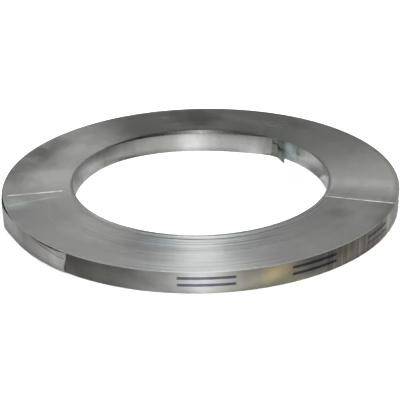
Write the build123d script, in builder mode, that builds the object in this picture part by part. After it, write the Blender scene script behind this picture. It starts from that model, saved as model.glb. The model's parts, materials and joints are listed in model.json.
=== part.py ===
from build123d import *
from math import pi, sin
import os

# A coil of flat steel strapping: one strip wound turn on turn into a ring that lies on its side.
# Millimetres. The bore's axis is +Z, z = 0 is the floor, and angles run counter-clockwise from +X.

# The strip
strip_width = 32.0
strip_thickness = 0.8

# The winding. Groups of turns have slipped up a little and stand slightly apart,
# which shows as steps and grooves on both ends.
bore_diameter = 406.0
turn_count = 140
turns_per_band = 14
band_slip = 0.6
band_step_share = 0.618
groove_width = 1.2
groove_depth = 0.9

# The outer end of the strip: it leaves the winding at its root, has a kink,
# tucks in again and springs off towards its tip
lap_start_angle = 70.0
tail_root_angle = 186.0
tail_kink_angle = 198.7
tail_tuck_angle = 210.0
tail_tip_angle = 232.0
tail_root_gap = 0.4
tail_kink_gap = 3.6
tail_tuck_gap = 0.4
tail_tip_gap = 3.0
tail_bow_share = 0.6

# The inner end of the strip, which leaves a step in the bore that runs out along the wall
inner_tip_angle = 52.5
inner_lap_sweep = 60.0

# Worked out
bore_radius = bore_diameter / 2
wound_radius = bore_radius + (turn_count - 1) * strip_thickness
band_count = max(2, round(turn_count / turns_per_band))
band_width = (wound_radius - bore_radius) / band_count
lap_mid_angle = (lap_start_angle + tail_root_angle) / 2
inner_run_out_angle = inner_tip_angle - inner_lap_sweep
inner_mid_angle = (inner_tip_angle + inner_run_out_angle) / 2


def slip(band):
    uneven = (band * band_step_share) % 1
    return band_slip * uneven * sin(pi * band / (band_count - 1))


def around(radius, angle):
    return Vector(radius, 0).rotate(Axis.Z, angle)


def sprung_face(radius):
    root = (tail_root_angle, tail_root_gap)
    kink = (tail_kink_angle, tail_kink_gap)
    tuck = (tail_tuck_angle, tail_tuck_gap)
    tip = (tail_tip_angle, tail_tip_gap)
    for (angle, gap), (next_angle, next_gap) in ((root, kink), (kink, tuck), (tuck, tip)):
        mid_gap = (gap + next_gap) / 2 * tail_bow_share
        ThreePointArc(
            around(radius + gap, angle),
            around(radius + mid_gap, (angle + next_angle) / 2),
            around(radius + next_gap, next_angle),
        )


# The section of the wound ring: each group of turns is one strip width tall, at its own height
under_side = [(bore_radius, 0)]
upper_side = [(bore_radius, strip_width)]
for band in range(1, band_count):
    groove = bore_radius + band * band_width
    inner_lip = groove - groove_width / 2
    outer_lip = groove + groove_width / 2
    floor = groove_depth + slip(band)
    under_side += [(inner_lip, slip(band - 1)), (groove, floor), (outer_lip, slip(band))]
    upper_side += [
        (inner_lip, strip_width + slip(band - 1)),
        (groove, strip_width + slip(band) - groove_depth),
        (outer_lip, strip_width + slip(band)),
    ]
under_side.append((wound_radius, 0))
upper_side.append((wound_radius, strip_width))

with BuildPart() as strapping_coil:
    with BuildSketch(Plane.XZ):
        with BuildLine():
            Polyline(*under_side, *reversed(upper_side), close=True)
        make_face()
    revolve(axis=Axis.Z)

    # The last turn comes up out of the wall, laps the winding and springs away from it at the tip
    with BuildSketch():
        with BuildLine():
            buried = wound_radius - strip_thickness
            top = wound_radius + strip_thickness
            foot = buried - strip_thickness
            ThreePointArc(
                around(buried, lap_start_angle),
                around((buried + top) / 2, lap_mid_angle),
                around(top + tail_root_gap, tail_root_angle),
            )
            sprung_face(top)
            Line(around(top + tail_tip_gap, tail_tip_angle), around(wound_radius + tail_tip_gap, tail_tip_angle))
            sprung_face(wound_radius)
            Line(around(wound_radius + tail_root_gap, tail_root_angle), around(foot, tail_root_angle))
            ThreePointArc(
                around(foot, tail_root_angle),
                around(foot, lap_mid_angle),
                around(foot, lap_start_angle),
            )
            Line(around(foot, lap_start_angle), around(buried, lap_start_angle))
        make_face()
    extrude(amount=strip_width)

    # Past the inner tip the bore wall is the next turn, one thickness further out
    with BuildSketch():
        with BuildLine():
            inside = bore_radius - strip_thickness
            outside = bore_radius + strip_thickness
            step = Line(around(inside, inner_tip_angle), around(outside, inner_tip_angle))
            run_out = ThreePointArc(
                step @ 1,
                around(bore_radius + strip_thickness / 4, inner_mid_angle),
                around(inside, inner_run_out_angle),
            )
            ThreePointArc(run_out @ 1, around(inside, inner_mid_angle), step @ 0)
        make_face()
    extrude(amount=strip_width + band_slip, mode=Mode.SUBTRACT)

strapping_coil.part.label = "strapping_coil"
os.makedirs("parts", exist_ok=True)
export_step(strapping_coil.part, "parts/strapping_coil.step")
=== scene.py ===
import bpy
import json
import math
import numpy as np
from mathutils import Matrix, Vector


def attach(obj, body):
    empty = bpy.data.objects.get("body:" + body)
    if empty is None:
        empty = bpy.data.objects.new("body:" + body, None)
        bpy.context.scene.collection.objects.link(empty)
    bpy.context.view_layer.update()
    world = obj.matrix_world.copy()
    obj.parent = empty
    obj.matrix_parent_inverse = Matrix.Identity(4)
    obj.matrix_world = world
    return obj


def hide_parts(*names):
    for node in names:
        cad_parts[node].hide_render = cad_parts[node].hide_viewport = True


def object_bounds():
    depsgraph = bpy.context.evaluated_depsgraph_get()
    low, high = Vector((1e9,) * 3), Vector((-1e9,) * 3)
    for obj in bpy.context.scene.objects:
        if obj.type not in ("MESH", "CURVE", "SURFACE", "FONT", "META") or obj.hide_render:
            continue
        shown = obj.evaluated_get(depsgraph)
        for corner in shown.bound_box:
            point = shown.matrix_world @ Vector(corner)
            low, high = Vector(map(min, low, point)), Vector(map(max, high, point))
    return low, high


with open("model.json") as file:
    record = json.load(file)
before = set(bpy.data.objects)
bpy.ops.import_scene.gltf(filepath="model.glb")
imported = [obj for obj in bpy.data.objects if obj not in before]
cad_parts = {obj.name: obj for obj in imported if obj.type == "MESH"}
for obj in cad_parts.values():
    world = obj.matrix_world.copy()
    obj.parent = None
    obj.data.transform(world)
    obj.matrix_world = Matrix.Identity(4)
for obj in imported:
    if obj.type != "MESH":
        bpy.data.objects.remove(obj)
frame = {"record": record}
cadLow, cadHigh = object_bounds()

boreMount = next(m for m in frame["record"]["mounts"] if m["name"] == "bore")
boreRadius = boreMount["dims"]["r_mm"] / 1000
stripWidth = boreMount["dims"]["length_mm"] / 1000
spareHeight = cadHigh.z - stripWidth    # how far turns may have slipped up
midRadius = 0.26                        # metres, a radius inside the winding
fullTurn = 2 * math.pi
black = (0.0, 0.0, 0.0)


# camera

photoCamera = {
    "picture": 400,               # pixels a side
    "focal": 1034.4,              # pixels
    "place": (-0.0016, -1.5145, 0.7068),
    "pitch": 25.306,              # degrees down from level
    "roll": 1.211,                # degrees, lifts the right side of the picture
}


def makeCamera(spec):
    pitch = math.radians(spec["pitch"])
    roll = math.radians(spec["roll"])
    back = Vector((0, -math.cos(pitch), math.sin(pitch)))
    side = Vector((1, 0, 0))
    up = back.cross(side)
    rolledSide = math.cos(roll) * side - math.sin(roll) * up
    rolledUp = math.sin(roll) * side + math.cos(roll) * up
    data = bpy.data.cameras.new("photoCamera")
    data.lens = data.sensor_width * spec["focal"] / spec["picture"]
    camera = bpy.data.objects.new("photoCamera", data)
    bpy.context.scene.collection.objects.link(camera)
    turn = Matrix((rolledSide, rolledUp, back)).transposed().to_4x4()
    camera.matrix_world = Matrix.Translation(spec["place"]) @ turn
    bpy.context.scene.camera = camera
    print("camera at", spec["place"], "lens", round(data.lens, 1))


makeCamera(photoCamera)


# winding: one strip from the inner tip to the outer tip

winding = {
    "turns": 140,
    "spareTurns": 0.3,            # room left outside the last turn, in turns
    "columns": 100,               # mesh columns round one turn, before those at the creases
    "innerTip": 52.5,             # degrees from +X, counter-clockwise
    "outerTip": 232.0,
    "tailSweep": 120.0,           # the last stretch, made as a strip of its own shape
    "strip": 0.00075,             # gauge, a hair under the pitch
    "edge": [(0.06, 0.00001), (0.62, 0.00007), (0.93, 0.00017)],    # share of the pitch, drop
    "freeEdge": 0.00018,          # how far the edges of a free strip are rounded
    "valley": 0.00034,            # how deep the joint between two turns is
    "sharpFrom": 50.0,            # degrees, faces that meet at more than this stay sharp
    "seed": 7,
    "restHeight": 0.55,           # where the turns lie, as a share of the spare height
    "mostHeight": 0.80,
    "groupTurns": (2, 7),         # turns that slipped together
    "groupHeight": 0.00004,
    "groupLean": 0.000008,        # how much the edges of a group lean in or out
    "turnSpread": (0.35, 0.50),   # how far single turns differ from their group, in height and lean
    "heightFar": 0.15,            # what is left of the groups' heights away from the front
    "waves": 8,
    "waveRates": (0.35, 2.6),     # waves a turn
    "waveHeight": 0.00001,
    # slack turns: first, last, how far they have sunk at the front
    "slack": [(4, 6, 0.0008), (11, 12, 0.0004), (17, 19, 0.0006), (31, 32, 0.0004), (60, 62, 0.0002)],
    # kinks across all turns: angle, height, half width
    "creases": [(191.0, 0.00008, 0.35), (337.8, 0.00008, 0.35)],
    "front": 270.0,               # degrees
    "slackReach": (22.0, 48.0),   # degrees from the front over which the slack runs out
    "leanReach": (25.0, 55.0),    # the same for the groups' lean and height
    # the innermost turns dip towards the bore at the back: middle, half width in degrees, turns, dip
    "lip": (93.0, 22.0, 5, 0.00009),
}

looseTurn = {
    # degrees, how far the first turn stands off the wall at its foot and at its top
    "standOff": [(52.5, 0.0054, 0.0008), (54.5, 0.0069, 0.0022), (57, 0.0088, 0.0058), (61, 0.0118, 0.0098),
                 (65, 0.0146, 0.0122), (70, 0.0168, 0.0152), (75, 0.0181, 0.0173), (80, 0.0190, 0.0185),
                 (86, 0.0193, 0.0186), (92, 0.0187, 0.0178), (100, 0.0165, 0.0156), (109, 0.0132, 0.0124),
                 (118, 0.0095, 0.0085), (127, 0.0050, 0.0044), (136, 0.0018, 0.0016), (147, 0.0, 0.0)],
    "columns": 360,
    "soften": 7,                  # columns
}

tab = {
    # the torn inner end, bent into the bore: x, y of its foot and its top from the bend to the tip
    "low": [(0.1242, 0.1553), (0.1254, 0.1545), (0.1343, 0.1470), (0.1354, 0.1448), (0.1400, 0.1308),
            (0.1442, 0.1182)],
    "high": [(0.1262, 0.1583), (0.1268, 0.1562), (0.1346, 0.1502), (0.1354, 0.1458), (0.1401, 0.1334),
             (0.1442, 0.1190)],
    "left": [1.0, 0.70, 0.70, 0.47, 0.47, 0.24],    # share of the width that is left
}

tail = {
    # degrees, how far the outer end stands off: a kink first, then the sprung tip
    "standOff": [(180, 0.0), (190, 0.0006), (196, 0.0024), (198.7, 0.0037), (201, 0.0027), (205, 0.0009),
                 (209, 0.0002), (217, 0.0004), (225, 0.0014), (229.6, 0.0021), (232, 0.0004)],
    # the top edge stands further off than the foot
    "lean": [(198, -0.0006), (206, 0.0), (216, 0.0004), (225, 0.0013), (229.6, 0.0018), (232, 0.0003)],
    "skew": 1.3,                  # degrees that the top of the cut reaches past its foot
    "skewFrom": 222.0,
    "columns": 240,
    "soften": 5,                  # columns
}

pitch = (cadHigh.y - boreRadius) / (winding["turns"] + winding["spareTurns"])
startAngle = math.radians(winding["innerTip"])
endTurns = winding["turns"] - 1 + ((winding["outerTip"] - winding["innerTip"]) % 360) / 360
tailTurns = winding["tailSweep"] / 360
passRate = 4    # one turn passes into the next over a quarter of a turn

rng = np.random.default_rng(winding["seed"])
waveRates = rng.uniform(*winding["waveRates"], winding["waves"])
wavePhases = rng.uniform(0, fullTurn, winding["waves"])

groupHeights, groupLeans = [], []
while len(groupHeights) < winding["turns"] + 3:
    size = rng.integers(*winding["groupTurns"])
    groupHeights += [rng.normal()] * size
    groupLeans += [rng.normal()] * size
heightSpread, leanSpread = winding["turnSpread"]
groupHeights = np.array(groupHeights) + rng.normal(0, heightSpread, len(groupHeights))
groupLeans = np.array(groupLeans) + rng.normal(0, leanSpread, len(groupLeans))


def perTurn(values, turns):
    # a value for each turn, passing softly to the next turn's near the inner tip's angle
    whole = np.clip(np.floor(turns).astype(int), 0, len(values) - 2)
    share = np.clip((turns - whole - 1) * passRate + 1, 0, 1)
    share = share * share * (3 - 2 * share)
    return values[whole] * (1 - share) + values[whole + 1] * share


def awayFrom(middle, turns):
    # degrees between a place along the strip and a direction
    degrees = winding["innerTip"] + 360 * np.asarray(turns, float)
    return np.abs((degrees - middle + 180) % 360 - 180)


def slipUp(turns):
    # height of the strip's foot over the floor
    turns = np.asarray(turns, float)
    waves = np.sin(fullTurn * turns[..., None] * waveRates + wavePhases).sum(-1)
    height = spareHeight * winding["restHeight"]
    height = height + waves * winding["waveHeight"] / math.sqrt(winding["waves"] / 2)
    fade = np.interp(awayFrom(winding["front"], turns), winding["leanReach"], (1, winding["heightFar"]))
    height += perTurn(groupHeights, turns) * winding["groupHeight"] * fade
    return np.clip(height, 0, spareHeight * winding["mostHeight"])


def crease(turns):
    rise = np.zeros_like(turns)
    for middle, height, half in winding["creases"]:
        rise += height * np.clip(1 - awayFrom(middle, turns) / half, 0, 1)
    return rise


def sink(turns):
    # slack turns lie a little lower than their neighbours
    turns = np.asarray(turns, float)
    depth = np.zeros_like(turns)
    for first, last, drop in winding["slack"]:
        inside = np.minimum(turns - first, last + 1 - turns)
        depth += drop * np.clip(inside * passRate, 0, 1)
    return depth * np.interp(awayFrom(winding["front"], turns), winding["slackReach"], (1, 0))


def leanOf(turns):
    # how much the edges of the turns lean, by group, and the lip at the back
    lean = perTurn(groupLeans, turns) * winding["groupLean"]
    lean *= np.interp(awayFrom(winding["front"], turns), winding["leanReach"], (1, 0))
    middle, half, count, dip = winding["lip"]
    share = np.clip(1 - awayFrom(middle, turns) / half, 0, 1)
    return lean - dip * share * np.clip((count + 1 - turns) / count, 0, 1)


class MeshBag:
    # collects vertices and faces from arrays
    def __init__(self):
        self.points = []
        self.faces = []
        self.slots = []
        self.count = 0

    def add(self, points):
        self.points.append(points)
        self.count += len(points)

    def join(self, first, second, slot):
        # quads between two rows of points
        quads = np.stack([first, second, second + 1, first + 1], -1)
        self.faces += quads.tolist()
        self.slots += np.broadcast_to(slot, len(quads)).tolist()

    def addRing(self, loop, slot):
        self.faces.append([int(v) for v in loop])
        self.slots.append(slot)

    def make(self, name, materials):
        mesh = bpy.data.meshes.new(name)
        mesh.from_pydata(np.concatenate(self.points).tolist(), [], self.faces)
        for material in materials:
            mesh.materials.append(material)
        mesh.polygons.foreach_set("material_index", self.slots)
        mesh.polygons.foreach_set("use_smooth", [True] * len(self.faces))
        mesh.update()
        mesh.set_sharp_from_angle(angle=math.radians(winding["sharpFrom"]))
        piece = bpy.data.objects.new(name, mesh)
        bpy.context.scene.collection.objects.link(piece)
        return piece


def polar(radius, angle, height):
    return np.stack([radius * np.cos(angle), radius * np.sin(angle), height * np.ones_like(angle)], -1)


def columnPlaces():
    # where the mesh columns stand, as shares of a turn, with three at each crease
    places = list(np.arange(winding["columns"]) / winding["columns"])
    for middle, height, half in winding["creases"]:
        share = (middle - winding["innerTip"]) / 360 % 1
        beside = half / 360
        places = [p for p in places if abs(p - share) > 2 * beside]
        places += [share - beside, share, share + beside]
    return np.array(sorted(places))


def windBody(bag, edgeSlot, faceSlot):
    # turns 1 up to the tail: rounded edges on both ends, wound as a true spiral
    places = columnPlaces()
    columns = len(places)
    step = np.arange((winding["turns"] + 1) * columns)
    turns = 1 + step // columns + places[step % columns]
    count = int(np.argmin(np.abs(turns - (endTurns - tailTurns))))
    turns = turns[:count + columns + 1]
    angle = startAngle + fullTurn * turns
    joint = boreRadius + pitch * turns
    foot = slipUp(turns)
    top = foot + stripWidth - sink(turns) + crease(turns)
    inside = np.concatenate([foot[:columns], foot[:-columns]])
    insideTop = np.concatenate([top[:columns], top[:-columns]])
    lean = leanOf(turns)
    own = slice(0, count + 1)
    here = np.arange(count)
    beyond = here + columns

    # upper end
    base = bag.count
    rows = [polar(joint, angle, np.minimum(top, insideTop) - winding["valley"])]
    for share, drop in winding["edge"]:
        height = top[own] - drop + lean[own] * (0.5 - share)
        rows.append(polar(joint[own] + share * pitch, angle[own], np.minimum(height, cadHigh.z)))
    bag.add(np.concatenate(rows))
    starts = [base] + [base + len(turns) + row * (count + 1) for row in range(len(winding["edge"]))]
    for row, nextRow in zip(starts, starts[1:]):
        bag.join(row + here, nextRow + here, edgeSlot)
    bag.join(starts[-1] + here, base + beyond, edgeSlot)

    # lower end
    under = bag.count
    crest = under + len(turns)
    bag.add(np.concatenate([polar(joint, angle, np.maximum(foot, inside) + winding["valley"]),
                            polar(joint[own] + pitch / 2, angle[own], foot[own])]))
    bag.join(crest + here, under + here, edgeSlot)
    bag.join(under + beyond, crest + here, edgeSlot)

    # bore wall, outer wall and the two ends of this stretch
    inner = np.arange(columns)
    outer = np.arange(count, count + columns)
    bag.join(under + inner, base + inner, faceSlot)
    bag.join(base + outer, under + outer, faceSlot)
    for place, backwards in ((0, False), (count, True)):
        loop = [row + place for row in starts]
        loop += [base + place + columns, under + place + columns, crest + place, under + place]
        bag.addRing(loop[::-1] if backwards else loop, faceSlot)
    return turns[count]


def stripMesh(bag, low, high, foot, top, edgeSlot, faceSlot, innerSlot, endSlot):
    # a free stretch of strip: low and high are the inner face's lines at its foot and its top
    low = np.asarray(low, float)
    high = np.asarray(high, float)
    along = np.gradient((low + high) / 2, axis=0)
    along /= np.linalg.norm(along, axis=1)[:, None]
    out = np.stack([along[:, 1], -along[:, 0]], -1)
    soft = winding["freeEdge"]
    # round the section: share of the gauge, foot or top, lift
    corners = [(0, 0, soft), (0, 1, -soft)]
    corners += [(share, 1, -drop) for share, drop in winding["edge"]]
    corners += [(1, 1, -soft), (1, 0, soft), (0.8, 0, 0), (0.2, 0, 0)]
    rows = []
    for share, level, lift in corners:
        flat = low * (1 - level) + high * level + out * share * winding["strip"]
        height = foot * (1 - level) + top * level + lift
        rows.append(np.concatenate([flat, height[:, None]], 1))
    base = bag.count
    size = len(low)
    bag.add(np.concatenate(rows))
    here = np.arange(size - 1)
    turn = len(corners)
    for row in range(turn):
        following = (row + 1) % turn
        ends = {corners[row][0], corners[following][0]}
        slot = innerSlot if ends == {0} else faceSlot if ends == {1} else edgeSlot
        bag.join(base + following * size + here, base + row * size + here, slot)
    first = [base + row * size for row in range(turn)]
    bag.addRing(first, endSlot)
    bag.addRing([v + size - 1 for v in first][::-1], endSlot)


def soften(values, size):
    # running mean, with both ends left as they are
    edge = size // 2
    calm = values.copy()
    calm[edge:-edge] = np.convolve(values, np.ones(size) / size, "valid")
    return calm


def windInner(bag, edgeSlot, faceSlot, endSlot, tabSlot):
    # the loose first turn with its bent end
    turns = np.linspace(0, 1, looseTurn["columns"])
    degrees = winding["innerTip"] + 360 * turns
    angle = np.radians(degrees)
    wound = boreRadius + pitch * turns
    places, atFoot, atTop = zip(*looseTurn["standOff"])
    footOff = soften(np.interp(degrees, places, atFoot), looseTurn["soften"])
    topOff = soften(np.interp(degrees, places, atTop), looseTurn["soften"])
    low = np.concatenate([np.array(tab["low"])[::-1], polar(wound - footOff, angle, 0)[:, :2]])
    high = np.concatenate([np.array(tab["high"])[::-1], polar(wound - topOff, angle, 0)[:, :2]])
    size = len(tab["left"])
    foot = np.concatenate([np.zeros(size) + slipUp(0), slipUp(turns)])
    left = np.concatenate([np.array(tab["left"])[::-1], np.ones(len(turns))])
    innerSlots = np.full(len(foot) - 1, faceSlot)
    innerSlots[:size - 1] = tabSlot
    stripMesh(bag, low, high, foot, foot + stripWidth * left, edgeSlot, faceSlot, innerSlots, endSlot)


def windTail(bag, begins, edgeSlot, faceSlot, endSlot):
    # the last stretch, with its kink and its sprung tip
    turns = np.linspace(begins, endTurns, tail["columns"])
    angle = startAngle + fullTurn * turns
    degrees = winding["outerTip"] - 360 * (endTurns - turns)
    off = soften(np.interp(degrees, *zip(*tail["standOff"])), tail["soften"])
    lean = soften(np.interp(degrees, *zip(*tail["lean"]), left=0), tail["soften"])
    wound = boreRadius + pitch * turns
    skew = np.clip((degrees - tail["skewFrom"]) / (winding["outerTip"] - tail["skewFrom"]), 0, 1)
    low = polar(np.maximum(wound + off - lean, wound), angle, 0)[:, :2]
    high = polar(wound + off + lean, angle + math.radians(tail["skew"]) * skew, 0)[:, :2]
    foot = slipUp(turns)
    stripMesh(bag, low, high, foot, foot + stripWidth, edgeSlot, faceSlot, faceSlot, endSlot)


# shader helpers

def newMaterial(name):
    material = bpy.data.materials.new(name)
    material.use_nodes = True
    tree = material.node_tree
    return material, tree, tree.nodes["Principled BSDF"]


def node(tree, kind, inputs=None, **settings):
    made = tree.nodes.new(kind)
    for key, value in settings.items():
        setattr(made, key, value)
    for key, value in (inputs or {}).items():
        if isinstance(value, bpy.types.NodeSocket):
            tree.links.new(value, made.inputs[key])
        else:
            made.inputs[key].default_value = value
    return made


def maths(tree, operation, first, second=0.0, third=0.0):
    made = node(tree, "ShaderNodeMath", {0: first, 1: second, 2: third}, operation=operation)
    return made.outputs[0]


def times(tree, product, *others):
    for other in others:
        product = maths(tree, "MULTIPLY", product, other)
    return product


def softStep(tree, value, place, width):
    # 0 below the place and 1 above it, or the other way round for a negative width
    ends = (0.0, 1.0) if width > 0 else (1.0, 0.0)
    half = abs(width) / 2
    inputs = {0: value, 1: place - half, 2: place + half, 3: ends[0], 4: ends[1]}
    return node(tree, "ShaderNodeMapRange", inputs, interpolation_type="SMOOTHSTEP").outputs[0]


def window(tree, value, first, last, firstSoft, lastSoft):
    # 1 between two places and 0 outside them
    return times(tree, softStep(tree, value, first, firstSoft), softStep(tree, value, last, -lastSoft))


def stretch(tree, value, low, high, newLow, newHigh):
    made = node(tree, "ShaderNodeMapRange", {0: value, 1: low, 2: high, 3: newLow, 4: newHigh})
    return made.outputs[0]


def ramp(tree, value, stops):
    made = node(tree, "ShaderNodeValToRGB", {0: value})
    elements = made.color_ramp.elements
    while len(elements) < len(stops):
        elements.new(0.5)
    for element, (place, colour) in zip(elements, stops):
        element.position = place
        element.color = (*colour, 1)
    return made.outputs[0]


def between(tree, value, first, last, stops):
    # a ramp whose stops are given in the value's own unit
    share = stretch(tree, value, first, last, 0.0, 1.0)
    return ramp(tree, share, [((at - first) / (last - first), colour) for at, colour in stops])


def greys(pairs):
    return [(at, (factor, factor, factor)) for at, factor in pairs]


def blend(tree, share, first, second, mode="MIX"):
    made = node(tree, "ShaderNodeMix", {0: share}, data_type="RGBA", blend_type=mode)
    for socket, value in ((made.inputs[6], first), (made.inputs[7], second)):
        if isinstance(value, bpy.types.NodeSocket):
            tree.links.new(value, socket)
        else:
            socket.default_value = (*value, 1)
    return made.outputs[2]


def drawShine(tree, shader, grain):
    # shine drawn out across the turns
    shader.inputs["Anisotropic"].default_value = grain
    shader.inputs["Anisotropic Rotation"].default_value = 0.25    # a quarter turn
    tangent = node(tree, "ShaderNodeTangent", direction_type="RADIAL", axis="Z")
    tree.links.new(tangent.outputs[0], shader.inputs["Tangent"])


marks = {
    "ragged": 45.0,               # scale of the noise that makes a patch ragged, and how far it does
    "raggedBy": 1.5,              # in sizes of the patch, as the next two
    "reach": 0.8,
    "soft": 1.1,
    "kinkSoft": 0.8,              # softness of a kink's line, in widths
    "kinkEnds": 0.008,            # metres over which a kink runs out
    "heightShadeFoot": 1.8,              # the painted height shade's weight at the foot and at the top
    "heightShadeTop": -2.0,
}


class CoilPlace:
    # radius, angle and height of a point of the coil
    def __init__(self, tree):
        self.tree = tree
        self.where = node(tree, "ShaderNodeTexCoord").outputs["Object"]
        self.x, self.y, self.height = node(tree, "ShaderNodeSeparateXYZ", {0: self.where}).outputs
        flat = node(tree, "ShaderNodeCombineXYZ", {0: self.x, 1: self.y}).outputs[0]
        self.radius = node(tree, "ShaderNodeVectorMath", {0: flat}, operation="LENGTH").outputs["Value"]
        self.angle = maths(tree, "ARCTAN2", self.y, self.x)
        self.degrees = maths(tree, "DEGREES", self.angle)

    def streaks(self, radial, around, upward, detail=2.0):
        # noise drawn out along the strip: fine across it, slow along it
        tree = self.tree
        across = maths(tree, "MULTIPLY_ADD", self.radius, radial, times(tree, self.height, upward))
        cosine = times(tree, maths(tree, "COSINE", self.angle), around)
        sine = times(tree, maths(tree, "SINE", self.angle), around)
        vector = node(tree, "ShaderNodeCombineXYZ", {0: cosine, 1: sine, 2: across}).outputs[0]
        inputs = {"Vector": vector, "Scale": 1.0, "Detail": detail}
        return node(tree, "ShaderNodeTexNoise", inputs).outputs[0]

    def cloud(self, scale, detail=3.0):
        inputs = {"Vector": self.where, "Scale": scale, "Detail": detail}
        return node(self.tree, "ShaderNodeTexNoise", inputs).outputs[0]

    def turnedFrom(self, middle):
        # degrees between this point and a direction
        tree = self.tree
        off = maths(tree, "WRAP", maths(tree, "SUBTRACT", self.degrees, middle), 180.0, -180.0)
        return maths(tree, "ABSOLUTE", off)

    def tilt(self, first, last, pairs):
        # painted shade by height: a factor that is over 1 at the foot and under 1 at the top, stronger or
        # weaker by angle
        tree = self.tree
        zero = 0.5                # lifts the ramp's values, which can't be negative
        stops = greys([(angle, tilt + zero) for angle, tilt in pairs])
        tilt = maths(tree, "SUBTRACT", between(tree, self.degrees, first, last, stops), zero)
        up = stretch(tree, self.height, 0.0, stripWidth, marks["heightShadeFoot"], marks["heightShadeTop"])
        return maths(tree, "EXPONENT", times(tree, tilt, up))

    def kinkLine(self, middle, drift, width, near, far):
        # a soft line across the winding, drift in degrees per metre of radius
        tree = self.tree
        line = maths(tree, "MULTIPLY_ADD", maths(tree, "SUBTRACT", self.radius, midRadius), drift, middle)
        off = maths(tree, "RADIANS", maths(tree, "ABSOLUTE", maths(tree, "SUBTRACT", self.degrees, line)))
        line = softStep(tree, times(tree, off, self.radius), width / 2, -width * marks["kinkSoft"])
        return times(tree, line, window(tree, self.radius, near, far, marks["kinkEnds"], marks["kinkEnds"]))

    def patch(self, x, y, size):
        # a ragged soft spot on the upper end
        tree = self.tree
        inputs = {0: self.where, 1: (x, y, stripWidth)}
        off = node(tree, "ShaderNodeVectorMath", inputs, operation="DISTANCE").outputs["Value"]
        rough = maths(tree, "SUBTRACT", self.cloud(marks["ragged"]), 0.5)
        off = maths(tree, "ADD", off, times(tree, rough, size * marks["raggedBy"]))
        return softStep(tree, off, size * marks["reach"], -size * marks["soft"])


# slit edges: the two ends of the winding

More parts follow.
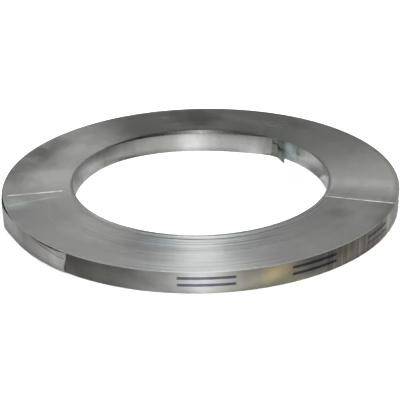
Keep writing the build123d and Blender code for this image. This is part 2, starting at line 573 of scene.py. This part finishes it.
slitEdgeFinishAndLight = {
    "dull": (0.585, 0.592, 0.570),
    "bright": (0.64, 0.648, 0.626),
    "calmStreaks": (30.0, 1.6),   # a metre across the turns, and round the coil
    # single turns, drawn as painted glints, which show most at the front
    "lineDark": (0.46, 0.472, 0.485),
    "lineBright": (0.84, 0.856, 0.876),
    "lineStreaks": (0.40, 2.2),   # a turn, and round the coil
    "linesFrom": -90.0,           # degrees
    "linesReach": 30.0,
    "linesFade": (0.014, 0.060),  # they fade between these distances from the bore
    "linesNear": 0.95,
    "linesFar": 0.30,
    # beside the bore they reach further: metres and softness, degrees and softness
    "boreLines": (0.010, 0.016),
    "boreLinesReach": (75.0, 40.0),
    # turns painted lighter or darker at the front, as painted highlight and shade: radius, factor
    "rings": [(0.2030, 0.80), (0.2055, 1.00), (0.2075, 1.48), (0.2095, 1.34), (0.2115, 1.50), (0.2140, 1.20),
              (0.2175, 0.84), (0.2195, 0.94), (0.2220, 1.20), (0.2250, 0.88), (0.2285, 1.08), (0.2315, 1.00),
              (0.2345, 0.84), (0.2385, 1.00), (0.2410, 0.98), (0.2440, 0.88), (0.2470, 0.97), (0.2500, 0.92),
              (0.2530, 0.84), (0.2580, 1.00), (0.2660, 1.03), (0.3050, 1.05), (0.3130, 1.10)],
    "ringsLeft": (-120.0, 24.0),  # degrees and softness where they fade out
    "ringsRight": (-50.0, 64.0),
    # the outermost turns carry a painted highlight at the front
    "brightRim": (0.93, 0.93, 0.92),
    "brightRimWidth": (0.0026, 0.0012),
    "brightRimReach": (70.0, 40.0),
    "brightRimStrength": 0.7,
    # painted shade along the rims: degrees, reach, strength
    "boreRim": [(158.0, 44.0, 0.62), (4.0, 18.0, 0.55)],
    "boreRimWidth": (0.0045, 0.004),
    "outerRim": [(-8.0, 30.0, 0.27)],
    "outerRimFrom": (0.307, 0.010),
    "rimShade": (0.10, 0.10, 0.10),
    "rimSoft": 0.6,
    "roughLow": 0.20,
    "roughHigh": 0.28,
    "grain": 0.75,                # how far the shine is drawn out across the turns
    # painted glints along kinks across the turns, and one broad painted light: degrees, drift, width,
    # strength, from and to radius
    "kinkGlints": [(-168.85, -6.0, 0.0032, 0.55, 0.220, 0.306), (-22.35, 21.0, 0.0022, 0.75, 0.206, 0.311),
              (-163.3, 29.0, 0.0050, 0.15, 0.232, 0.308), (-8.4, 0.0, 0.032, 0.09, 0.206, 0.305)],
    "kinkGlintColour": (0.93, 0.92, 0.89),
    "kinkStreaks": (60.0, 2.0),
    "kinkGaps": 0.45,             # what is left of a kink in its gaps
    "kinkGlintDull": -0.6,             # a painted glint is less metallic
    # darker patches, partly painted shade and partly handling smudges: x, y, size, strength
    "darkPatches": [(-0.272, 0.113, 0.036, 0.72), (-0.247, 0.156, 0.030, 0.40), (-0.297, 0.062, 0.034, 0.45),
                (-0.306, 0.012, 0.026, 0.35), (-0.262, 0.070, 0.045, 0.16), (-0.002, 0.262, 0.045, 0.36),
                (0.174, 0.218, 0.036, 0.20), (0.207, -0.143, 0.018, 0.40), (0.274, -0.128, 0.034, 0.32),
                (0.262, -0.165, 0.020, 0.38), (-0.284, -0.126, 0.020, 0.15), (0.050, -0.250, 0.030, 0.10),
                (-0.056, -0.254, 0.030, 0.08)],
    "darkPatchColour": (0.17, 0.17, 0.16),
    # painted highlights: places painted bright, the same way
    "paintedHighlights": [(-0.205, 0.100, 0.045, 0.45), (-0.190, 0.150, 0.045, 0.25), (-0.228, 0.010, 0.050, 0.60),
               (-0.235, -0.040, 0.040, 0.25), (0.240, -0.135, 0.045, 0.24), (-0.138, -0.177, 0.050, 0.28),
               (-0.099, -0.272, 0.040, 0.28), (0.120, -0.258, 0.050, 0.22), (0.166, -0.213, 0.050, 0.14),
               (0.240, -0.172, 0.045, 0.14), (0.0, -0.250, 0.032, 0.26)],
    "paintedHighlightColour": (0.90, 0.90, 0.89),
    # places with a tinted painted reflection: x, y, size, strength, colour
    "tintedReflections": [(-0.283, -0.086, 0.020, 0.60, (0.82, 0.90, 0.88)),
              (-0.268, -0.117, 0.024, 0.20, (0.42, 0.48, 0.56)),
              (-0.060, -0.222, 0.022, 0.35, (0.60, 0.70, 0.76)),
              (0.150, -0.160, 0.050, 0.25, (0.52, 0.56, 0.55))],
}


def turnLines(tree, place, spec, fromFront):
    # how far the painted glints of single turns show
    front = softStep(tree, fromFront, spec["linesReach"], -spec["linesReach"])
    width, soft = spec["boreLines"]
    reach, reachSoft = spec["boreLinesReach"]
    nearBore = times(tree, softStep(tree, place.radius, boreRadius + width, -soft),
                     softStep(tree, fromFront, reach, -reachSoft))
    first, last = spec["linesFade"]
    fade = stretch(tree, place.radius, boreRadius + first, boreRadius + last,
                   spec["linesNear"], spec["linesFar"])
    return times(tree, maths(tree, "MAXIMUM", front, nearBore), fade)


def slitEdgeRimShade(tree, place, spec, colour):
    # painted shade on the innermost and outermost turns
    width, soft = spec["boreRimWidth"]
    innermost = softStep(tree, place.radius, boreRadius + width, -soft)
    outermost = softStep(tree, place.radius, *spec["outerRimFrom"])
    for rim, places in ((innermost, spec["boreRim"]), (outermost, spec["outerRim"])):
        for middle, reach, strength in places:
            share = softStep(tree, place.turnedFrom(middle), reach, -reach * spec["rimSoft"])
            colour = blend(tree, times(tree, share, rim, strength), colour, spec["rimShade"])
    return colour


def makeSlitEdges(spec):
    material, tree, shader = newMaterial("slitEdges")
    place = CoilPlace(tree)
    fromFront = place.turnedFrom(spec["linesFrom"])
    slow = place.streaks(*spec["calmStreaks"], 0.0)
    calm = ramp(tree, slow, [(0.30, spec["dull"]), (0.70, spec["bright"])])
    across, around = spec["lineStreaks"]
    fine = place.streaks(across / pitch, around, 0.0)
    lively = ramp(tree, fine, [(0.38, spec["lineDark"]), (0.50, spec["bright"]), (0.62, spec["lineBright"])])
    colour = blend(tree, turnLines(tree, place, spec, fromFront), calm, lively)

    # painted highlight and shade on the turns at the front, by radius
    rings = between(tree, place.radius, boreRadius, cadHigh.y, greys(spec["rings"]))
    (first, firstSoft), (last, lastSoft) = spec["ringsLeft"], spec["ringsRight"]
    shown = window(tree, place.degrees, first, last, firstSoft, lastSoft)
    colour = blend(tree, shown, colour, rings, "MULTIPLY")
    # painted highlight along the outermost turns at the front
    width, soft = spec["brightRimWidth"]
    reach, reachSoft = spec["brightRimReach"]
    rim = times(tree, softStep(tree, place.radius, cadHigh.y - width, soft),
                softStep(tree, fromFront, reach, -reachSoft), spec["brightRimStrength"])
    colour = blend(tree, rim, colour, spec["brightRim"])

    # painted shade with handling smudges, painted highlights and tinted painted reflections
    patches = [(*patch, spec["darkPatchColour"]) for patch in spec["darkPatches"]]
    patches += [(*patch, spec["paintedHighlightColour"]) for patch in spec["paintedHighlights"]]
    for x, y, size, strength, tint in patches + spec["tintedReflections"]:
        colour = blend(tree, times(tree, place.patch(x, y, size), strength), colour, tint)
    colour = slitEdgeRimShade(tree, place, spec, colour)

    # painted glints along the kinks
    kinkGlints = 0.0
    for middle, drift, width, strength, near, far in spec["kinkGlints"]:
        kink = times(tree, place.kinkLine(middle, drift, width, near, far), strength)
        kinkGlints = maths(tree, "MAXIMUM", kink, kinkGlints)
    broken = stretch(tree, place.streaks(*spec["kinkStreaks"], 0.0), 0.35, 0.55, spec["kinkGaps"], 1.0)
    kinkGlints = times(tree, kinkGlints, broken)
    colour = blend(tree, kinkGlints, colour, spec["kinkGlintColour"])

    tree.links.new(colour, shader.inputs["Base Color"])
    tree.links.new(maths(tree, "MULTIPLY_ADD", kinkGlints, spec["kinkGlintDull"], 1.0), shader.inputs["Metallic"])
    rough = stretch(tree, slow, 0.3, 0.7, spec["roughLow"], spec["roughHigh"])
    tree.links.new(rough, shader.inputs["Roughness"])
    drawShine(tree, shader, spec["grain"])
    return material


# rolled faces: outer wall, bore wall and loose turn

outerWall = {
    # colour by angle, -180 to 0 degrees, with painted reflections: bright outer end, then dull, a painted
    # yellow reflection, stained at the right
    "colours": [(-180, (0.60, 0.60, 0.60)), (-160, (0.70, 0.70, 0.68)), (-156, (0.80, 0.78, 0.78)),
                (-150, (0.66, 0.68, 0.69)), (-145, (0.48, 0.475, 0.455)), (-140, (0.57, 0.555, 0.53)),
                (-134, (0.64, 0.63, 0.60)), (-130.5, (0.90, 0.92, 0.88)), (-127, (1.0, 1.0, 0.98)),
                (-125.5, (0.28, 0.28, 0.265)), (-119, (0.33, 0.33, 0.31)), (-114, (0.375, 0.375, 0.35)),
                (-110, (0.46, 0.46, 0.445)), (-105, (0.78, 0.78, 0.76)), (-100, (0.88, 0.88, 0.86)),
                (-92, (0.76, 0.765, 0.77)), (-86, (0.72, 0.71, 0.67)), (-80, (0.525, 0.51, 0.445)),
                (-76, (0.52, 0.50, 0.40)), (-72, (1.0, 0.87, 0.51)), (-68.5, (1.0, 0.86, 0.58)),
                (-62, (0.60, 0.585, 0.52)), (-53, (0.52, 0.495, 0.44)), (-48, (0.55, 0.525, 0.475)),
                (-40, (0.325, 0.29, 0.265)), (-33, (0.37, 0.335, 0.31)), (-28, (0.86, 0.86, 0.83)),
                (-24, (0.62, 0.63, 0.59)), (-18, (0.52, 0.525, 0.50)), (0, (0.60, 0.60, 0.60))],
    # painted shade by height: how much lighter the wall is at its foot, by angle
    "tilt": [(-180, 0.0), (-136, 0.0), (-130, -0.14), (-122, -0.12), (-112, -0.13), (-105, 0.0), (-100, 0.20),
             (-92, 0.0), (-82, 0.08), (-76, 0.26), (-72, 0.34), (-69, 0.30), (-63, 0.22), (-56, 0.0),
             (-50, -0.08), (-40, -0.04), (-35, 0.14), (-30, 0.02), (-25, 0.10), (0, 0.0)],
    # the wall just past the outer end: colour, softness at the tip, degrees and softness where it stops,
    # largest radius
    "besideTip": (0.235, 0.225, 0.21),
    "besideTipSoft": 0.2,
    "besideTipTo": (-121.0, 10.0),
    "besideTipUnder": 0.3147,
    # a faint fold along the outer end, drawn as painted shade: degrees from and to, height there
    "fold": (-141.0, -127.6, 0.0330, 0.0226),
    "foldLine": (0.0013, 0.0014),         # half width and softness
    "foldAbove": (0.001, 0.002, 0.45),    # above the line: height, softness, share of the shade
    "foldFoot": (0.006, 0.008, 0.7),      # along the foot, the same way
    "foldFrom": (-146.0, 12.0),           # degrees and softness where the shade begins
    "foldEnd": 0.4,                       # softness at the tip
    "foldOver": 0.3145,                   # smallest radius of the outer end there
    "foldShade": 0.42,
    "radiusSoft": 0.0004,
    # stains across the right side: degrees from and to with their softness, dark and light
    "stained": (-58.0, -27.0, 8.0, 5.0),
    "stainStreaks": (55.0, 12.0),
    "stainDark": (0.66, 0.63, 0.57),
    "stainLight": (1.34, 1.28, 1.18),
}


def outerEndFoldShade(tree, place, spec):
    # painted shade: the fold line, the strip above it and its foot darker
    first, last, high, low = spec["fold"]
    above = maths(tree, "SUBTRACT", place.height, stretch(tree, place.degrees, first, last, high, low))
    half, soft = spec["foldLine"]
    fold = softStep(tree, maths(tree, "ABSOLUTE", above), half, -soft)
    height, soft, share = spec["foldAbove"]
    fold = maths(tree, "MAXIMUM", fold, times(tree, softStep(tree, above, height, soft), share))
    height, soft, share = spec["foldFoot"]
    fold = maths(tree, "MAXIMUM", fold, times(tree, softStep(tree, place.height, height, -soft), share))
    begins, soft = spec["foldFrom"]
    shown = window(tree, place.degrees, begins, last, soft, spec["foldEnd"])
    onTail = softStep(tree, place.radius, spec["foldOver"], spec["radiusSoft"])
    return times(tree, fold, shown, onTail, spec["foldShade"])


def outerWallColour(tree, place, spec):
    colour = between(tree, place.degrees, -180, 0, spec["colours"])
    last, soft = spec["besideTipTo"]
    past = window(tree, place.degrees, winding["outerTip"] - 360, last, spec["besideTipSoft"], soft)
    past = times(tree, past, softStep(tree, place.radius, spec["besideTipUnder"], -spec["radiusSoft"]))
    colour = blend(tree, past, colour, spec["besideTip"])
    # painted shade by height
    colour = blend(tree, 1.0, colour, place.tilt(-180, 0, spec["tilt"]), "MULTIPLY")
    colour = blend(tree, outerEndFoldShade(tree, place, spec), colour, black)
    stains = place.streaks(0.0, *spec["stainStreaks"])
    stains = ramp(tree, stains, [(0.36, spec["stainDark"]), (0.64, spec["stainLight"])])
    return blend(tree, window(tree, place.degrees, *spec["stained"]), colour, stains, "MULTIPLY")


boreWall = {
    # colour by angle, 0 to 180 degrees, with painted reflections and a painted shade behind the bent end
    "colours": [(0, (0.78, 0.79, 0.79)), (7.5, (0.98, 0.99, 0.99)), (9.5, (0.25, 0.25, 0.24)),
                (17, (0.41, 0.41, 0.405)), (24, (0.70, 0.71, 0.71)), (32, (0.68, 0.69, 0.685)),
                (35, (0.48, 0.53, 0.515)), (37, (0.25, 0.30, 0.29)), (40.5, (0.33, 0.405, 0.40)),
                (43, (0.28, 0.34, 0.335)), (45, (0.15, 0.18, 0.17)), (48, (0.14, 0.165, 0.155)),
                (49.5, (0.21, 0.235, 0.22)), (51.5, (0.22, 0.24, 0.22)), (54, (0.50, 0.53, 0.51)),
                (60, (0.62, 0.66, 0.64)), (64, (0.62, 0.62, 0.61)), (132, (0.71, 0.715, 0.68)),
                (144, (0.48, 0.48, 0.45)), (156, (0.75, 0.76, 0.76)), (163, (0.68, 0.69, 0.68)),
                (170, (0.42, 0.42, 0.41)), (180, (0.60, 0.60, 0.59))],
    # painted shade: how fast the bore darkens upwards, by angle
    "tilt": [(0, 0.22), (6, 0.46), (12, 0.05), (24, 0.0), (30, 0.22), (36, 0.24), (40, 0.06), (43, 0.12),
             (45, 0.42), (51, 0.30), (56, 0.24), (72, 0.12), (90, 0.0), (114, 0.0), (120, 0.11), (132, 0.26),
             (144, 0.36), (150, 0.54), (162, 0.52), (180, 0.55)],
    "wander": 3.0,                # degrees that the marks wander
    "slant": 700.0,               # degrees per metre of height that they lean at the sides
    "slantReach": 36.0,
    # beside the bent end the wall is made dull, so the lamps light its painted colour: degrees from and to
    # with their softness, how dull
    "dullLitSpan": (36.0, 52.0, 1.5, 1.0),
    "dullLitAmount": 0.6,
    # painted light at half height, painted shade at the top and the foot: height, factor
    "litBandByHeight": [(0.0, 0.88), (0.006, 0.90), (0.013, 1.16), (0.020, 1.16), (0.026, 0.88), (0.032, 0.62)],
    "litBandTo": (45.5, 3.0),
    # the wall's upper part catches light behind the loose turn: degrees, reach, from this height, softness
    "lip": (89.8, 19.0, 0.020, 0.004),
    "lipColour": (0.95, 0.97, 0.97),
    "lipFall": 1.6,
    "lipDull": 0.62,
    "wallSoft": 0.0005,
}


def boreWallColour(tree, place, blotches, spec):
    # the wall's colour and how dull it is
    slant = times(tree, maths(tree, "SUBTRACT", place.height, stripWidth / 2), spec["slant"])
    reach = spec["slantReach"]
    right = stretch(tree, place.degrees, 0.0, reach, 1.0, 0.0)
    left = stretch(tree, place.degrees, 180.0 - reach, 180.0, 0.0, -1.0)
    slant = times(tree, slant, maths(tree, "ADD", right, left))
    wander = maths(tree, "SUBTRACT", blotches, 0.5)
    wander = maths(tree, "MULTIPLY_ADD", wander, spec["wander"], place.degrees)
    colour = between(tree, maths(tree, "ADD", wander, slant), 0, 180, spec["colours"])

    # painted light and shade by height beside the bent end, which is made dull
    dullLitSpan = window(tree, place.degrees, *spec["dullLitSpan"])
    last, soft = spec["litBandTo"]
    litBandByHeight = between(tree, place.height, 0.0, stripWidth, greys(spec["litBandByHeight"]))
    litBandShare = times(tree, dullLitSpan, softStep(tree, place.degrees, last, -soft))
    colour = blend(tree, litBandShare, colour, litBandByHeight, "MULTIPLY")

    middle, reach, height, soft = spec["lip"]
    onWall = softStep(tree, place.radius, boreRadius - spec["wallSoft"], spec["wallSoft"])
    lip = stretch(tree, place.turnedFrom(middle), 0.0, reach, 1.0, 0.0)
    lip = maths(tree, "POWER", lip, spec["lipFall"])
    lip = times(tree, lip, softStep(tree, place.height, height, soft), onWall)
    colour = blend(tree, lip, colour, spec["lipColour"])
    dull = maths(tree, "MAXIMUM", times(tree, lip, spec["lipDull"]), times(tree, dullLitSpan, spec["dullLitAmount"]))
    return colour, times(tree, dull, onWall)


looseTurnShading = {
    # colour by angle, with painted reflections, from the bent end to where the turn lies on the wall
    "colours": [(52.5, (0.58, 0.58, 0.555)), (54.5, (0.58, 0.58, 0.565)), (60, (0.82, 0.825, 0.81)),
                (66, (0.71, 0.715, 0.70)), (72, (0.59, 0.595, 0.59)), (80, (0.55, 0.555, 0.55)),
                (90, (0.61, 0.615, 0.61)), (97, (0.63, 0.635, 0.625)), (103, (0.54, 0.545, 0.53)),
                (108, (0.46, 0.465, 0.45)), (114, (0.40, 0.405, 0.39)), (120, (0.45, 0.455, 0.435)),
                (126, (0.61, 0.615, 0.59)), (132, (0.70, 0.705, 0.67))],
    # painted shade by height near the bend, by angle
    "tilt": [(52.5, -0.24), (54.5, -0.16), (58, 0.0), (180, 0.0)],
    # painted shade along its foot: height and softness, strength, degrees and softness where that begins
    "foot": (0.006, 0.010),
    "footShade": 0.25,
    "footFrom": (66.0, 10.0),
    # what counts as the loose turn: distance off the wall and softness, and the same at the bend
    "clear": (0.002, 0.001),
    "clearAtBend": (0.0001, 0.0004),
    "bendTo": (60.0, 6.0),
}


def looseTurnColour(tree, place, spec):
    # the turn's colour and where it is
    colour = between(tree, place.degrees, 0, 180, spec["colours"])
    height, soft = spec["foot"]
    foot = times(tree, softStep(tree, place.height, height, -soft), spec["footShade"],
                 softStep(tree, place.degrees, *spec["footFrom"]))
    colour = blend(tree, foot, colour, black)
    # painted shade by height
    colour = blend(tree, 1.0, colour, place.tilt(0, 180, spec["tilt"]), "MULTIPLY")
    (off, soft), (bendOff, bendSoft) = spec["clear"], spec["clearAtBend"]
    last, lastSoft = spec["bendTo"]
    clear = softStep(tree, place.radius, boreRadius - off, -soft)
    atBend = times(tree, softStep(tree, place.radius, boreRadius - bendOff, -bendSoft),
                   softStep(tree, place.degrees, last, -lastSoft))
    return colour, maths(tree, "MAXIMUM", clear, atBend)


inkBars = {
    # plain blue ink bars on the outer wall: degrees from and to; height and width of each row
    "spans": [(-96.4, -81.8), (-67.0, -53.5), (-41.0, -30.5)],
    "rows": [(0.0232, 0.0042), (0.0128, 0.0042)],
    "spanSoft": 0.5,
    "rowSoft": 0.0008,
    "colour": (0.030, 0.045, 0.125),
    "strength": 0.85,
    "wear": 30.0,                 # scale of the worn places, and what is left there
    "wornTo": 0.85,
}


def inkShare(tree, place, spec):
    spans, rows = 0.0, 0.0
    for first, last in spec["spans"]:
        span = window(tree, place.degrees, first, last, spec["spanSoft"], spec["spanSoft"])
        spans = maths(tree, "MAXIMUM", span, spans)
    for middle, width in spec["rows"]:
        off = maths(tree, "ABSOLUTE", maths(tree, "SUBTRACT", place.height, middle))
        rows = maths(tree, "MAXIMUM", softStep(tree, off, width / 2, -spec["rowSoft"]), rows)
    worn = stretch(tree, place.cloud(spec["wear"]), 0.35, 0.60, spec["wornTo"], 1.0)
    return times(tree, spans, rows, worn, spec["strength"])


rolledFinish = {
    "wallsMeet": 0.02,            # softness of the step from the bore's finish to the outer wall's
    "rollLines": (4.0, 900.0),    # round the coil, and a metre of height
    "bands": (16.0, 14.0),
    "lineShare": 0.55,            # the rest is bands
    "rollDark": 0.90,
    "rollLight": 1.07,
    "blotches": 55.0,
    "roughLow": 0.20,
    "roughHigh": 0.32,
    "grain": 0.6,
    "scratch": 0.04,
    "scratchDepth": 0.0004,
}


def makeRolledFaces(spec):
    material, tree, shader = newMaterial("rolledFaces")
    place = CoilPlace(tree)
    lines = place.streaks(0.0, *spec["rollLines"], detail=3.0)
    bands = place.streaks(0.0, *spec["bands"], detail=3.0)
    blotches = place.cloud(spec["blotches"])
    outside = softStep(tree, place.radius, midRadius, spec["wallsMeet"])

    wall, dull = boreWallColour(tree, place, blotches, boreWall)
    loose, isLoose = looseTurnColour(tree, place, looseTurnShading)
    bore = blend(tree, isLoose, wall, loose)
    # painted shade by height on the bore wall
    bore = blend(tree, 1.0, bore, place.tilt(0, 180, boreWall["tilt"]), "MULTIPLY")
    colour = blend(tree, outside, bore, outerWallColour(tree, place, outerWall))
    share = spec["lineShare"]
    mixed = maths(tree, "MULTIPLY_ADD", lines, share, times(tree, bands, 1 - share))
    rolled = ramp(tree, mixed, greys([(0.32, spec["rollDark"]), (0.68, spec["rollLight"])]))
    colour = blend(tree, 1.0, colour, rolled, "MULTIPLY")
    ink = times(tree, inkShare(tree, place, inkBars), outside)
    colour = blend(tree, ink, colour, inkBars["colour"])

    tree.links.new(colour, shader.inputs["Base Color"])
    dull = times(tree, dull, maths(tree, "SUBTRACT", 1.0, outside))
    tree.links.new(maths(tree, "SUBTRACT", 1.0, dull), shader.inputs["Metallic"])
    rough = stretch(tree, blotches, 0.3, 0.7, spec["roughHigh"], spec["roughLow"])
    tree.links.new(rough, shader.inputs["Roughness"])
    inputs = {"Strength": spec["scratch"], "Distance": spec["scratchDepth"], "Height": lines}
    tree.links.new(node(tree, "ShaderNodeBump", inputs).outputs[0], shader.inputs["Normal"])
    drawShine(tree, shader, spec["grain"])
    return material


# sheared ends and the bent tab

shearFinish = {
    "dull": (0.62, 0.62, 0.60),
    "bright": (0.78, 0.78, 0.76),
    "streaks": (300.0, 60.0, 1500.0),
    "rough": 0.35,
}

tabFinish = {
    # colour from the tip to the bend, by angle
    "colours": [(39.0, (0.19, 0.19, 0.175)), (42.5, (0.23, 0.23, 0.215)), (45.0, (0.42, 0.42, 0.39)),
                (52.0, (0.42, 0.42, 0.395))],
    "reach": (38.0, 53.0),        # degrees
    "grain": 240.0,
    "grainDark": 0.86,
    "rough": 0.38,
}


def bareMetal(shader, tree, colour, rough):
    tree.links.new(colour, shader.inputs["Base Color"])
    shader.inputs["Metallic"].default_value = 1.0
    shader.inputs["Roughness"].default_value = rough


def makeShearedEnds(spec):
    material, tree, shader = newMaterial("shearedEnds")
    grain = CoilPlace(tree).streaks(*spec["streaks"])
    colour = ramp(tree, grain, [(0.3, spec["dull"]), (0.7, spec["bright"])])
    bareMetal(shader, tree, colour, spec["rough"])
    return material


def makeBentTab(spec):
    material, tree, shader = newMaterial("bentTab")
    place = CoilPlace(tree)
    colour = between(tree, place.degrees, *spec["reach"], spec["colours"])
    grain = ramp(tree, place.cloud(spec["grain"]), greys([(0.35, spec["grainDark"]), (0.65, 1.0)]))
    bareMetal(shader, tree, blend(tree, 1.0, colour, grain, "MULTIPLY"), spec["rough"])
    return material


# floor and light

studio = {
    "floorSize": 9.0,
    "floorColour": (0.93, 0.93, 0.93),
    "floorRough": 0.9,
    "lampHeight": 2.6,
    "lampSize": 3.6,
    "lampPower": 190.0,
    "boreLightSize": 0.39,        # a sheet of light lying in the bore, facing up
    "boreLightHeight": 0.0004,
    "boreLightPower": 0.088,
}


def makeFloor(spec):
    half = spec["floorSize"] / 2
    corners = [(-half, -half, 0), (half, -half, 0), (half, half, 0), (-half, half, 0)]
    mesh = bpy.data.meshes.new("studioFloor")
    mesh.from_pydata(corners, [], [(0, 1, 2, 3)])
    floor = bpy.data.objects.new("studioFloor", mesh)
    bpy.context.scene.collection.objects.link(floor)
    material, tree, shader = newMaterial("paleFloor")
    shader.inputs["Base Color"].default_value = (*spec["floorColour"], 1)
    shader.inputs["Roughness"].default_value = spec["floorRough"]
    shader.inputs["Specular IOR Level"].default_value = 0.0
    mesh.materials.append(material)
    floor.visible_glossy = False    # the metal mirrors the room, not the white sheet


def makeLamp(name, place, size, power):
    data = bpy.data.lights.new(name, "AREA")
    data.shape = "DISK"
    data.size = size
    data.energy = power
    lamp = bpy.data.objects.new(name, data)
    lamp.location = place
    bpy.context.scene.collection.objects.link(lamp)
    return lamp


# soft panels of the room, by direction: azimuth from +Y towards +X, elevation, in degrees
room = {
    "base": (0.0, 0.0, 0.0),
    "panels": [
        # azimuth middle, half width, elevation low, high, edge softness, colour
        (-26, 9, 2, 36, 5, (0.45, 0.45, 0.445)),
        (-26, 9, 36, 54, 5, (0.65, 0.65, 0.645)),
        (-12, 5, 2, 36, 5, (0.70, 0.70, 0.69)),
        (0, 5, 26, 54, 5, (1.35, 1.38, 1.40)),
        (12, 5, 2, 24, 5, (0.45, 0.45, 0.44)),
        (12, 5, 36, 54, 5, (0.30, 0.30, 0.30)),
        (26, 9, 2, 24, 5, (0.70, 0.70, 0.69)),
        (26, 9, 24, 54, 5, (0.40, 0.40, 0.40)),
        (48, 13, 2, 54, 6, (0.15, 0.15, 0.15)),
        (-86, 25, 0, 54, 6, (0.16, 0.16, 0.16)),
        (86, 25, 0, 54, 6, (0.60, 0.60, 0.60)),
        (180, 69, 0, 54, 6, (0.20, 0.20, 0.20)),
        (0, 20, 54, 76, 6, (0.80, 0.81, 0.82)),
        (-50, 30, 54, 76, 6, (0.48, 0.48, 0.48)),
        (50, 30, 54, 76, 6, (0.25, 0.25, 0.25)),
        (180, 100, 54, 76, 6, (0.35, 0.35, 0.35)),
        (0, 200, 76, 100, 6, (0.65, 0.65, 0.65)),
        # below: what the walls mirror
        (0, 200, -95, 0, 6, (0.16, 0.16, 0.16)),
        (180, 9, -95, 0, 18, (0.45, 0.45, 0.455)),
        (170, 34, -95, 0, 40, (0.45, 0.45, 0.44)),
        (140, 9, -95, 0, 12, (0.16, 0.16, 0.15)),
        (0, 22, -95, 0, 20, (0.25, 0.25, 0.25)),
        (-45, 30, -95, 0, 24, (0.22, 0.22, 0.22)),
        (-100, 25, -95, 0, 24, (0.05, 0.05, 0.05)),
        (50, 30, -95, 0, 24, (0.20, 0.20, 0.20)),
        (-95, 40, -95, -34, 10, (0.14, 0.14, 0.14)),
    ],
}


def makeRoom(spec):
    world = bpy.data.worlds.new("softRoom")
    bpy.context.scene.world = world
    world.use_nodes = True
    tree = world.node_tree
    background = tree.nodes["Background"]
    where = node(tree, "ShaderNodeTexCoord").outputs["Generated"]
    parts = node(tree, "ShaderNodeSeparateXYZ", {0: where}).outputs
    azimuth = maths(tree, "DEGREES", maths(tree, "ARCTAN2", parts[0], parts[1]))
    elevation = maths(tree, "DEGREES", maths(tree, "ARCSINE", parts[2]))
    total = node(tree, "ShaderNodeCombineXYZ", dict(enumerate(spec["base"]))).outputs[0]
    for middle, half, low, high, soft, colour in spec["panels"]:
        off = maths(tree, "WRAP", maths(tree, "SUBTRACT", azimuth, middle), 180, -180)
        shape = times(tree, softStep(tree, maths(tree, "ABSOLUTE", off), half, -soft),
                      window(tree, elevation, low, high, soft, soft))
        glow = node(tree, "ShaderNodeVectorMath", {0: colour, "Scale": shape}, operation="SCALE").outputs[0]
        total = node(tree, "ShaderNodeVectorMath", {0: total, 1: glow}, operation="ADD").outputs[0]
    tree.links.new(total, background.inputs["Color"])


makeFloor(studio)
overhead = makeLamp("overhead", (0, 0, studio["lampHeight"]), studio["lampSize"], studio["lampPower"])
overhead.visible_glossy = False
boreLight = makeLamp("boreLight", (0, 0, studio["boreLightHeight"]), studio["boreLightSize"],
                     studio["boreLightPower"])
boreLight.rotation_euler.x = math.pi
boreLight.visible_camera = False
makeRoom(room)
bpy.context.scene.view_settings.view_transform = "Standard"
print("floor and light made")

bag = MeshBag()
bodyEnds = windBody(bag, 0, 1)
windInner(bag, 0, 1, 2, 3)
windTail(bag, bodyEnds, 0, 1, 2)
finishes = [makeSlitEdges(slitEdgeFinishAndLight), makeRolledFaces(rolledFinish), makeShearedEnds(shearFinish),
            makeBentTab(tabFinish)]
coil = bag.make("wound_strip", finishes)
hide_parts("strapping_coil")
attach(coil, "root")
triangles = sum(len(p.vertices) - 2 for p in coil.data.polygons)
print("wound strip:", triangles, "triangles")
